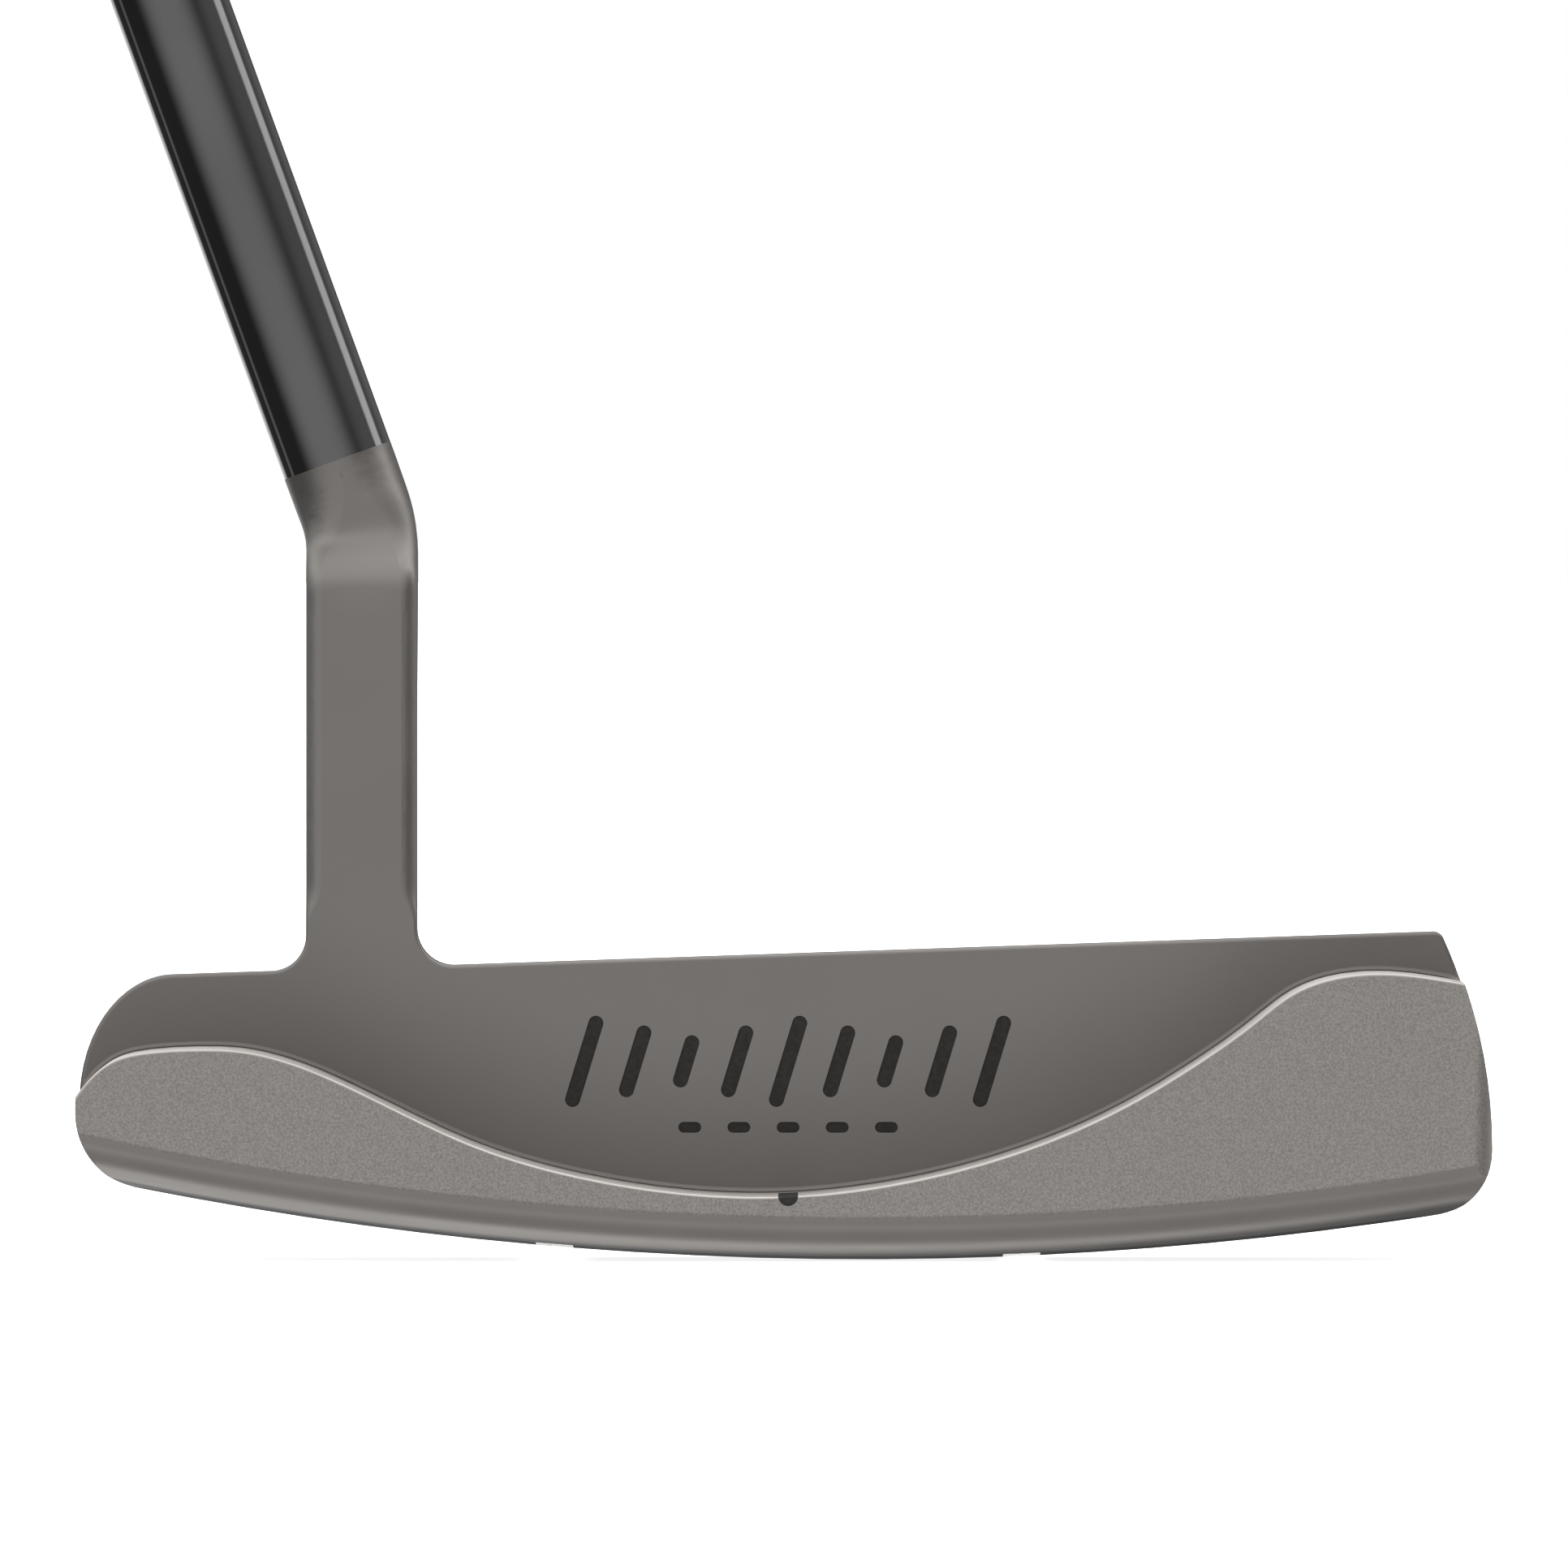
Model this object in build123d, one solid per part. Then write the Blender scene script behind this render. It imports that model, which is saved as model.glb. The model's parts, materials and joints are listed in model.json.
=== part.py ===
from build123d import *
import math
import os

# Blade putter. Frame: +X to the toe, -X to the heel, +Y the way the ball leaves, +Z up.
# The origin lies on the ground under the sight line, below the lowest line of the sole.

# ---------------------------------------------------------------- head, mm and degrees
heel_reach = 59.1            # sight line to the heel end
toe_reach = 58.4             # sight line to the toe end
sole_front = 12.0            # lowest line of the sole to the leading edge
sole_back = 14.0             # lowest line of the sole to the flange's back face
loft_angle = 3.0             # lean of the strike face
top_height = 25.36           # height of the top line over the sight line
top_rise = 1.95              # slope of the top line, up towards the toe
topline_thickness = 6.2      # wall between the cavity and the strike face, at its top
sole_camber_radius = 310.0   # sole curve from heel to toe
sole_low_x = 6.3             # lowest point of that curve, from the sight line
sole_roll_radius = 100.0     # sole curve from front to back
back_round = 3.2             # round between sole and back face
leading_round = 1.2          # round between sole and strike face

toe_side_radius = 42.3       # bowed toe side
toe_belly_height = 9.3       # height of the toe-most point
toe_corner_radius = 5.7      # toe side into sole
toe_top_round = 0.8          # toe side into top line
heel_corner_radius = 6.6     # heel side into sole
heel_corner_height = 12.4    # height where that corner meets the heel side
heel_shoulder_width = 7.8    # elliptical heel shoulder, half axes
heel_shoulder_base = 13.1    # height where the shoulder starts

flange_low = 5.5             # height of the flange's top at the sight line
cavity_round = 0.4           # cavity wall into flange top
flange_edge_round = 0.22     # flange top into back face
end_round = 1.5              # heel and toe ends into back face, in plan
rim_round = 0.3              # top line edges

# ---------------------------------------------------------------- neck and post
lie_angle = 70.0             # shaft axis against the ground
axis_ground_x = -13.45       # where the shaft axis meets the ground
kink_height = 64.7           # ground to the neck's bend, along the shaft axis
hosel_height = 70.8          # ground to the end of the shaft, along the shaft axis
neck_width = 9.26            # heel to toe
neck_bend_radius = 11.5      # centre line of the bend
neck_corner_round = 1.3      # back edges of the neck
neck_base_round = 3.05       # neck into top line
neck_runout = 3.5            # height over which the neck's corner round grows
shaft_offset = 4.7           # front of the shaft ahead of the leading edge
facet_start = 55.6           # the neck's back leans forward between these two heights
facet_end = 61.4
flare_start = 42.0           # and its front between these two
flare_end = 58.0
post_diameter = 8.2
post_length = 25.4
post_chamfer = 0.8
epoxy_gap = 0.1              # round the post and over its end

# ---------------------------------------------------------------- sole plate, sight line, motif
plate_thickness = 0.6
plate_film = 0.1             # adhesive under the plate
plate_side_gap = 0.1         # plate edge to pocket edge
plate_width = 17.0           # front to back
plate_end_inset = 4.6        # plate end to heel or toe end
plate_corner_radius = 5.0
bar_width = 3.1              # white bars across the plate
bar_depth = 0.3
bar_spacing = 38.8           # centre to centre
sight_groove_diameter = 1.65
sight_stop = 3.0             # groove end to cavity wall
motif_depth = 0.4
paint_recess = 0.1           # paint below the wall's surface
motif_stroke = 1.25
motif_width = 34.0           # first bar to last bar
motif_slant = 17.0
motif_height = 16.4          # middle of the bars
motif_count = 9
bar_length = 6.2             # middle length of the slanted bars
bar_swing = 1.7              # longer or shorter than that
bar_period = 4               # bars in one wave of the lengths
dash_height = 10.9
dash_length = 1.9
dash_stroke = 0.9
dash_spacing = 4.1
dash_count = 5

# ---------------------------------------------------------------- shaft and grip
club_length = 889.0          # ground to the top of the butt cap, along the shaft axis
shaft_tip_diameter = 9.4
shaft_butt_diameter = 14.7
shaft_wall = 0.5
shaft_step_length = 32.0
shaft_step_count = 8
shaft_step_gap = 10.0        # last step to the band
grip_length = 267.0
grip_tape_thickness = 0.15
grip_butt_width = 27.0
grip_butt_depth = 30.0
grip_waist_width = 24.0
grip_waist_depth = 23.0
grip_waist_place = 165.0     # from the butt
grip_mouth_diameter = 20.5
grip_skin_thickness = 1.2
grip_corner_share = 0.2      # corner radius of the flat front, as a share of the width
grip_flat = 10.5             # shaft axis to the flat front, above the mouth
cap_thickness = 4.0
cap_round = 1.2              # cap's upper rim
cap_shaft_gap = 1.0          # cap's underside to the end of the shaft
vent_diameter = 4.0
mouth_ring_length = 5.0
mouth_ring_diameter = 18.4   # its lower, smaller end
band_length = 38.0
band_thickness = 0.08
band_gap = 30.0              # band to grip

# ---------------------------------------------------------------- working margins
cut_margin = 1.0             # a cutting volume runs this far past what it cuts
barrel_reach = 1.1           # sole's sweep past the head's ends, as a factor
least_round = 0.1            # smallest round kept on an inset sole
foot_margin = 0.5            # straight sides between the neck's base round and its loft
section_flat = 0.02          # half of the flat left between the rounds of a full-round section
section_spacing = 1.1        # between the neck's sections
same_place = 0.01            # two points nearer than this are one

# ---------------------------------------------------------------- worked-out places
lean = 90.0 - lie_angle
up = Vector(-math.sin(math.radians(lean)), 0, math.cos(math.radians(lean)))
neck_x = axis_ground_x + kink_height * up.X
kink_z = kink_height * up.Z


def top_line(x):
    return top_height + x * math.tan(math.radians(top_rise))


def corner_height(reach, radius):
    """Height at which a round tangent to the sole's front-to-back arc meets a wall at reach."""
    return sole_roll_radius - math.sqrt((sole_roll_radius - radius) ** 2 - (reach - radius) ** 2)


face_start = corner_height(sole_front, leading_round)


def face_y(z):
    return sole_front - (z - face_start) * math.tan(math.radians(loft_angle))


neck_base_top = top_line(neck_x) + neck_base_round + foot_margin
neck_front = face_y(neck_base_top)
wall_y = face_y(top_line(neck_x)) - topline_thickness
shaft_y = sole_front + shaft_offset - shaft_tip_diameter / 2
bend_tangent = neck_bend_radius * math.tan(math.radians(lean / 2))
bend_z = kink_z - bend_tangent
bend_length = neck_bend_radius * math.radians(lean)
neck_top = bend_z + bend_length + (hosel_height - kink_height) - bend_tangent
grip_bottom = club_length - grip_length
cap_bottom = club_length - cap_thickness
shaft_end = cap_bottom - cap_shaft_gap


def on_axis(distance):
    """Plane across the shaft axis, its X square to the strike line, at a distance from the ground."""
    origin = Vector(axis_ground_x, shaft_y, 0) + up * distance
    return Plane(origin=origin, x_dir=(0, 1, 0), z_dir=up)


def across(face, y_from, y_to):
    """Prism of an XZ face between two depths."""
    return extrude(Plane.XZ.offset(-y_to) * face, y_to - y_from)


def rod(start, end, diameter, end_diameter=None):
    """Round bar or cone on the shaft axis."""
    if end_diameter is None or end_diameter == diameter:
        return extrude(on_axis(start) * Circle(diameter / 2), end - start)
    return loft([on_axis(start) * Circle(diameter / 2), on_axis(end) * Circle(end_diameter / 2)])


# ---------------------------------------------------------------- head
def sole_barrel(depth):
    """Everything above the sole's double curve, raised by a depth inside it."""
    radius = sole_roll_radius - depth
    back = sole_back - depth
    front = sole_front - depth
    back_r = max(back_round - depth, least_round)
    front_r = max(leading_round - depth, least_round)

    def touch(reach, r):
        height = sole_roll_radius - math.sqrt((radius - r) ** 2 - (reach - r) ** 2)
        angle = math.atan2(reach - r, sole_roll_radius - height)
        low = (radius * math.sin(angle), sole_roll_radius - radius * math.cos(angle))
        mid_angle = (math.pi / 2 + angle) / 2
        mid = (reach - r + r * math.sin(mid_angle), height - r * math.cos(mid_angle))
        return low, mid, (reach, height)

    low_f, mid_f, side_f = touch(front, front_r)
    low_b, mid_b, side_b = touch(back, back_r)
    ceiling = 2 * top_height
    edges = [
        ThreePointArc((-low_b[0], low_b[1]), (0, depth), low_f),
        ThreePointArc(low_f, mid_f, side_f),
        Line(side_f, (front, ceiling)),
        Line((front, ceiling), (-back, ceiling)),
        Line((-back, ceiling), (-side_b[0], side_b[1])),
        ThreePointArc((-side_b[0], side_b[1]), (-mid_b[0], mid_b[1]), (-low_b[0], low_b[1])),
    ]
    profile = Plane.YZ.offset(sole_low_x) * make_face(edges)
    axis = Axis((sole_low_x, 0, sole_camber_radius), (0, 1, 0))
    sweep_reach = barrel_reach * (heel_reach + sole_low_x)
    half_sweep = math.degrees(math.asin(sweep_reach / (sole_camber_radius - ceiling)))
    return revolve(profile, axis, 2 * half_sweep).rotate(axis, -half_sweep)


def toe_top_corner():
    """Where the bowed toe side meets the top line."""
    slope = math.tan(math.radians(top_rise))
    cx = toe_reach - toe_side_radius
    a = 1 + slope ** 2
    rise = top_height - toe_belly_height
    b = slope * rise - cx
    c = cx ** 2 + rise ** 2 - toe_side_radius ** 2
    x = (-b + math.sqrt(b ** 2 - a * c)) / a
    return x, top_line(x)


def head_outline():
    """Back view of blade and neck foot, open below for the sole."""
    corner = toe_top_corner()
    belly = (toe_reach, toe_belly_height)
    cx = toe_reach - toe_side_radius
    mid_angle = math.atan2(corner[1] - toe_belly_height, corner[0] - cx) / 2
    side_mid = (cx + toe_side_radius * math.cos(mid_angle),
                toe_belly_height + toe_side_radius * math.sin(mid_angle))
    shoulder_x = heel_shoulder_width - heel_reach
    shoulder_z = top_line(shoulder_x)
    shoulder_rise = shoulder_z - heel_shoulder_base
    right = neck_x + neck_width / 2
    left = neck_x - neck_width / 2
    foot = -toe_corner_radius
    toe_foot = toe_reach - toe_corner_radius
    heel_foot = heel_corner_radius - heel_reach
    diag = math.sqrt(0.5)
    edges = [
        Line((heel_foot, foot), (toe_foot, foot)),
        Line((toe_foot, foot), (toe_foot, toe_belly_height - toe_corner_radius)),
        ThreePointArc((toe_foot, toe_belly_height - toe_corner_radius),
                      (toe_foot + toe_corner_radius * diag, toe_belly_height - toe_corner_radius * diag),
                      belly),
        ThreePointArc(belly, side_mid, corner),
        Line(corner, (right, top_line(right))),
        Line((right, top_line(right)), (right, neck_base_top)),
        Line((right, neck_base_top), (left, neck_base_top)),
        Line((left, neck_base_top), (left, top_line(left))),
        Line((left, top_line(left)), (shoulder_x, shoulder_z)),
        EllipticalCenterArc((shoulder_x, heel_shoulder_base), heel_shoulder_width, shoulder_rise,
                            start_angle=90, arc_size=90),
        Line((-heel_reach, heel_shoulder_base), (-heel_reach, heel_corner_height)),
        ThreePointArc((-heel_reach, heel_corner_height),
                      (heel_foot - heel_corner_radius * diag, heel_corner_height - heel_corner_radius * diag),
                      (heel_foot, heel_corner_height - heel_corner_radius)),
        Line((heel_foot, heel_corner_height - heel_corner_radius), (heel_foot, foot)),
    ]
    face = make_face(edges)
    base = [v for v in face.vertices()
            if abs(abs(v.X - neck_x) - neck_width / 2) < same_place and v.Y < neck_base_top - same_place]
    face = fillet(base, neck_base_round)
    tip = max(face.vertices(), key=lambda v: v.X + v.Y)
    return fillet(tip, toe_top_round)


def wave_line():
    """Top edge of the flange and of the two bumpers, seen from the back, heel to toe."""
    heel = -heel_reach
    toe = toe_reach
    return Spline([
        (heel - 0.4, 13.0), (heel + 1.1, 15.1), (heel + 3.1, 16.7), (heel + 6.1, 17.45),
        (heel + 10.1, 17.68), (heel + 13.6, 17.55), (heel + 17.1, 16.8), (heel + 23.1, 14.37),
        (heel + 33.1, 9.68), (-16, 6.84), (-5, 5.5), (0, flange_low), (8, 6.37), (18, 8.8),
        (toe - 30.4, 13.0), (toe - 24.4, 16.6), (toe - 19.9, 19.8), (toe - 16.4, 22.4),
        (toe - 12.4, 23.73), (toe - 8.4, 23.95), (toe - 4.4, 23.5), (toe + 0.6, 22.6),
    ])


def cavity():
    """The hollow behind the strike wall, above the wave line."""
    wave = wave_line()
    start = wave @ 0
    end = wave @ 1
    roof = 2 * top_height
    edges = [
        wave,
        Line(end, (end.X, roof)),
        Line((end.X, roof), (start.X, roof)),
        Line((start.X, roof), start),
    ]
    return across(make_face(edges), -sole_back - cut_margin, wall_y)


def face_cutter():
    """Everything in front of the leaning strike face and of the neck."""
    far = 4 * sole_front
    low = face_start
    top = neck_base_top
    points = [(face_y(low), low), (face_y(top), top), (face_y(top), 2 * top), (far, 2 * top), (far, low)]
    side = Plane.YZ.offset(-2 * heel_reach) * make_face(Polyline(points, close=True))
    return extrude(side, 4 * heel_reach)


def blend(place, start, end):
    """0 before start, 1 after end, and a soft step between."""
    share = min(max((place - start) / (end - start), 0), 1)
    return share ** 3 * (10 - 15 * share + 6 * share ** 2)


def neck_section(place):
    """Section of the neck, square to its centre line, at a distance measured up that line."""
    turn = min(max((place - bend_z) / bend_length, 0), 1) * lean
    angle = math.radians(turn)
    rest = max(place - bend_z - bend_length, 0)
    x = neck_x - neck_bend_radius * (1 - math.cos(angle)) - rest * math.sin(angle)
    z = min(place, bend_z) + neck_bend_radius * math.sin(angle) + rest * math.cos(angle)
    width = neck_width + (shaft_tip_diameter - neck_width) * blend(place, bend_z, neck_top)
    back_turn = blend(place, facet_start, facet_end)
    front_turn = blend(place, flare_start, flare_end)
    rounding = blend(place, facet_start, neck_top)
    back = wall_y + (shaft_y - shaft_tip_diameter / 2 - wall_y) * back_turn
    front = neck_front + (shaft_y + shaft_tip_diameter / 2 - neck_front) * front_turn
    grown = blend(place, neck_base_top, neck_base_top + neck_runout)
    corner = rim_round + (neck_corner_round - rim_round) * grown
    full = width / 2 - section_flat
    corner += (full - corner) * rounding
    half = width / 2
    near = corner * (1 - math.sqrt(0.5))
    edges = [
        Line((corner - half, back), (half - corner, back)),
        ThreePointArc((half - corner, back), (half - near, back + near), (half, back + corner)),
        Line((half, back + corner), (half, front - corner)),
        ThreePointArc((half, front - corner), (half - near, front - near), (half - corner, front)),
        Line((half - corner, front), (corner - half, front)),
        ThreePointArc((corner - half, front), (near - half, front - near), (-half, front - corner)),
        Line((-half, front - corner), (-half, back + corner)),
        ThreePointArc((-half, back + corner), (near - half, back + near), (corner - half, back)),
    ]
    plane = Plane(origin=(x, 0, z), x_dir=(math.cos(angle), 0, math.sin(angle)),
                  z_dir=(-math.sin(angle), 0, math.cos(angle)))
    return plane * make_face(edges)


def neck():
    """Bent neck: flat-backed at the blade, round and set forward where it meets the shaft."""
    count = round((neck_top - neck_base_top) / section_spacing)
    spacing = (neck_top - neck_base_top) / count
    return loft([neck_section(neck_base_top + spacing * i) for i in range(count + 1)])


def post():
    """Hidden stub on the neck that the shaft slides over."""
    stub = rod(hosel_height - cut_margin, hosel_height + post_length, post_diameter)
    tip = stub.edges().filter_by(GeomType.CIRCLE).sort_by(Axis.Z)[-1]
    return chamfer(tip, post_chamfer)


def in_plane_y(edge, y):
    return all(abs(point.Y - y) < same_place for point in [edge.center(), *edge.vertices()])


def plan_outline():
    """Upright prism of the head's plan, its two back corners rounded."""
    width = heel_reach + toe_reach
    plan = Pos((toe_reach - heel_reach) / 2, sole_back) * RectangleRounded(width, 4 * sole_back, end_round)
    return extrude(plan, 2 * top_height)


def head_blank():
    """Blade, flange and bumpers without their small pockets, neck included."""
    body = across(head_outline(), -sole_back, sole_front) & sole_barrel(0) & plan_outline()
    body -= cavity()
    body -= face_cutter()
    wall = [e for e in body.edges() if in_plane_y(e, wall_y)]
    rim = [e for e in wall if toe_belly_height < e.center().Z < neck_base_top - same_place]
    body = fillet(rim, rim_round)
    body = fillet(longest_curve(body, wall_y), cavity_round)
    body = fillet(longest_curve(body, -sole_back), flange_edge_round)
    return body + (neck() + post())


def longest_curve(body, y):
    """The wave's edge in an upright plane across the head."""
    curves = [e for e in body.edges() if in_plane_y(e, y) and e.geom_type == GeomType.BSPLINE]
    return max(curves, key=lambda e: e.length)


# ---------------------------------------------------------------- sole plate and painted details
def plate_prism(gap):
    """Upright prism of the plate's outline, wider all round by a gap."""
    heel_end = plate_end_inset - heel_reach - gap
    toe_end = toe_reach - plate_end_inset + gap
    outline = Pos((heel_end + toe_end) / 2, 0) * RectangleRounded(
        toe_end - heel_end, plate_width + 2 * gap, plate_corner_radius + gap)
    return extrude(outline, top_height / 2)


def sole_layer(prism, top, bottom):
    """Part of a prism between two depths under the sole's surface."""
    return (prism & sole_barrel(top)) - sole_barrel(bottom)


def bar_prisms():
    """Two strips right across the plate, for the white bars."""
    strips = [Pos(side * bar_spacing / 2, 0) * Rectangle(bar_width, 2 * plate_width) for side in (-1, 1)]
    return extrude(Sketch() + strips, top_height / 2)


def sole_pocket():
    return sole_layer(plate_prism(plate_side_gap), 0, plate_thickness + plate_film)


def sole_bars():
    return sole_layer(plate_prism(0) & bar_prisms(), 0, bar_depth)


def sole_plate():
    return sole_layer(plate_prism(0), 0, plate_thickness) - sole_bars()


def sole_plate_adhesive():
    return sole_layer(plate_prism(0), plate_thickness, plate_thickness + plate_film)


def sight_groove(blank):
    """Half-round groove's volume, front to back on the flange top."""
    bar = Pos(0, flange_low) * Circle(sight_groove_diameter / 2)
    return across(bar, -sole_back - cut_margin, wall_y - sight_stop) & blank


def motif_face():
    """Slanted bars whose lengths rise and fall, over a row of short dashes."""
    pitch = motif_width / (motif_count - 1)
    shapes = []
    for i in range(motif_count):
        length = bar_length + bar_swing * math.cos(2 * math.pi * i / bar_period)
        place = Pos(pitch * i - motif_width / 2, motif_height) * Rot(0, 0, 90 - motif_slant)
        shapes.append(place * SlotOverall(length, motif_stroke))
    for i in range(dash_count):
        place = Pos(dash_spacing * (i - (dash_count - 1) / 2), dash_height)
        shapes.append(place * SlotOverall(dash_length, dash_stroke))
    return Sketch() + shapes


def motif_engraving():
    return across(motif_face(), wall_y - cut_margin, wall_y + motif_depth)


def emblem_fill():
    return across(motif_face(), wall_y + paint_recess, wall_y + motif_depth)


# ---------------------------------------------------------------- shaft
def shaft():
    """Stepped tube: parallel from the neck to the first step and from the last step to the butt."""
    last_step = grip_bottom - band_gap - band_length - shaft_step_gap
    growth = (shaft_butt_diameter - shaft_tip_diameter) / shaft_step_count
    starts = [hosel_height] + [last_step - shaft_step_length * (shaft_step_count - 1 - i)
                               for i in range(shaft_step_count)]
    ends = starts[1:] + [shaft_end]
    outer = []
    inner = []
    for i, (start, end) in enumerate(zip(starts, ends)):
        radius = (shaft_tip_diameter + growth * i) / 2
        outer += [(radius, start), (radius, end)]
        inner += [(radius - shaft_wall, start), (radius - shaft_wall, end)]
    section = make_face(Polyline(outer + inner[::-1], close=True))
    tube = revolve(Plane.XZ * section, Axis.Z)
    return on_axis(0).location * tube


def hosel_epoxy():
    bore = shaft_tip_diameter - 2 * shaft_wall
    return rod(hosel_height, hosel_height + post_length, bore) - post()


def shaft_band():
    end = grip_bottom - band_gap
    start = end - band_length
    return rod(start, end, shaft_butt_diameter + 2 * band_thickness) - rod(start, end, shaft_butt_diameter)


# ---------------------------------------------------------------- grip
def grip_section(distance, width, depth, flat, inset):
    """Section with a flat front and a half-round back; the flat lies that far before the axis."""
    half = width / 2 - inset
    front = inset - flat
    middle = depth - flat - inset - half
    corner = grip_corner_share * width - inset
    near = corner * (1 - math.sqrt(0.5))
    edges = [
        Line((corner - half, front), (half - corner, front)),
        ThreePointArc((half - corner, front), (half - near, front + near), (half, front + corner)),
        Line((half, front + corner), (half, middle)),
        ThreePointArc((half, middle), (0, middle + half), (-half, middle)),
        Line((-half, middle), (-half, front + corner)),
        ThreePointArc((-half, front + corner), (near - half, front + near), (corner - half, front)),
    ]
    return on_axis(distance) * make_face(edges)


def grip_body(inset):
    """Grip from its mouth to the cap, smaller all round by an inset."""
    sections = [
        grip_section(grip_bottom + mouth_ring_length, grip_mouth_diameter, grip_mouth_diameter,
                     grip_mouth_diameter / 2, inset),
        grip_section(cap_bottom - grip_waist_place, grip_waist_width, grip_waist_depth, grip_flat, inset),
        grip_section(cap_bottom, grip_butt_width, grip_butt_depth, grip_flat, inset),
    ]
    return loft(sections)


def grip_bore():
    diameter = shaft_butt_diameter + 2 * grip_tape_thickness
    return rod(grip_bottom, cap_bottom, diameter)


def grip_tape():
    diameter = shaft_butt_diameter + 2 * grip_tape_thickness
    return rod(grip_bottom, shaft_end, diameter) - rod(grip_bottom, shaft_end, shaft_butt_diameter)


def grip_core():
    return grip_body(grip_skin_thickness) - grip_bore()


def grip_skin():
    return grip_body(0) - grip_body(grip_skin_thickness)


def grip_mouth_ring():
    ring = rod(grip_bottom, grip_bottom + mouth_ring_length, mouth_ring_diameter, grip_mouth_diameter)
    return ring - grip_bore()


def grip_cap():
    """Butt cap: a plate over the end of the grip with a vent hole through it."""
    section = grip_section(cap_bottom, grip_butt_width, grip_butt_depth, grip_flat, 0)
    plate = extrude(section, cap_thickness)
    rim = plate.faces().sort_by(Axis(origin=(0, 0, 0), direction=up))[-1].edges()
    return fillet(rim, cap_round) - rod(cap_bottom - cut_margin, club_length + cut_margin, vent_diameter)


# ---------------------------------------------------------------- build
def main():
    os.makedirs("parts", exist_ok=True)
    blank = head_blank()
    sight_line = sight_groove(blank)
    pieces = {
        "head": blank - sole_pocket() - sight_line - motif_engraving(),
        "sole_plate": sole_plate(),
        "sole_plate_adhesive": sole_plate_adhesive(),
        "sole_bars": sole_bars(),
        "sight_line_fill": sight_line,
        "emblem_fill": emblem_fill(),
        "shaft": shaft(),
        "hosel_epoxy": hosel_epoxy(),
        "shaft_band": shaft_band(),
        "grip_tape": grip_tape(),
        "grip_core": grip_core(),
        "grip_skin": grip_skin(),
        "grip_mouth_ring": grip_mouth_ring(),
        "grip_cap": grip_cap(),
    }
    for name, piece in pieces.items():
        export_step(piece, f"parts/{name}.step")


main()
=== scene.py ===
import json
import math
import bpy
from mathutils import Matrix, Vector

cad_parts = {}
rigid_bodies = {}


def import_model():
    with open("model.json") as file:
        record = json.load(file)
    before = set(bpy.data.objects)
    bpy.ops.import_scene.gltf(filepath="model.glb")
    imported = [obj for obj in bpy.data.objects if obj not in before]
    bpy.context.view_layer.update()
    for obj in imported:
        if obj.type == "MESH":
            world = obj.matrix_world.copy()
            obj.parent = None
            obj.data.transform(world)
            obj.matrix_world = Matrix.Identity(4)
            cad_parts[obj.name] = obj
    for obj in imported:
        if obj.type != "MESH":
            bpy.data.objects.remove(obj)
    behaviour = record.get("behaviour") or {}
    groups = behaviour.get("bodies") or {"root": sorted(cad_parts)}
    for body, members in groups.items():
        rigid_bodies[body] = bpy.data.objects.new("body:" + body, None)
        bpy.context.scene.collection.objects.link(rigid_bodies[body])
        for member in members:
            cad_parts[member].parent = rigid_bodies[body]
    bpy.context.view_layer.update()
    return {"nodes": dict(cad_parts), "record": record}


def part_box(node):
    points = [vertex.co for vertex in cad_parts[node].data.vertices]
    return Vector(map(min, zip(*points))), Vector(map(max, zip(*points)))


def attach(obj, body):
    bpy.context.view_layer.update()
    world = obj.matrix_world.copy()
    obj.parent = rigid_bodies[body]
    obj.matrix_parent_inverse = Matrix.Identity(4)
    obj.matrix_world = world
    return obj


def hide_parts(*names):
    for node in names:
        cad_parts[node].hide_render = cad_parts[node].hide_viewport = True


bl_info = {
    "name": "Blade putter",
    "version": (1, 0, 0),
    "blender": (4, 5, 0),
    "location": "View3D > Sidebar > Putter",
    "description": "Finishes and soft parts for a blade putter built round its CAD frame",
    "category": "Object",
}

import bmesh
import bpy
from mathutils import Vector

for leftover in list(bpy.data.objects):
    bpy.data.objects.remove(leftover)
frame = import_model()

BODY = "root"
MM = 0.001
MOUNTS = {mount["name"]: mount for mount in frame["record"]["mounts"]}
SHAFT_UP = Vector(MOUNTS["butt_vent"]["axis"]).normalized()
BUTT = Vector(MOUNTS["butt_vent"]["pos_m"])
FACE_OUT = Vector(MOUNTS["strike_face"]["axis"]).normalized()


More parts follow.
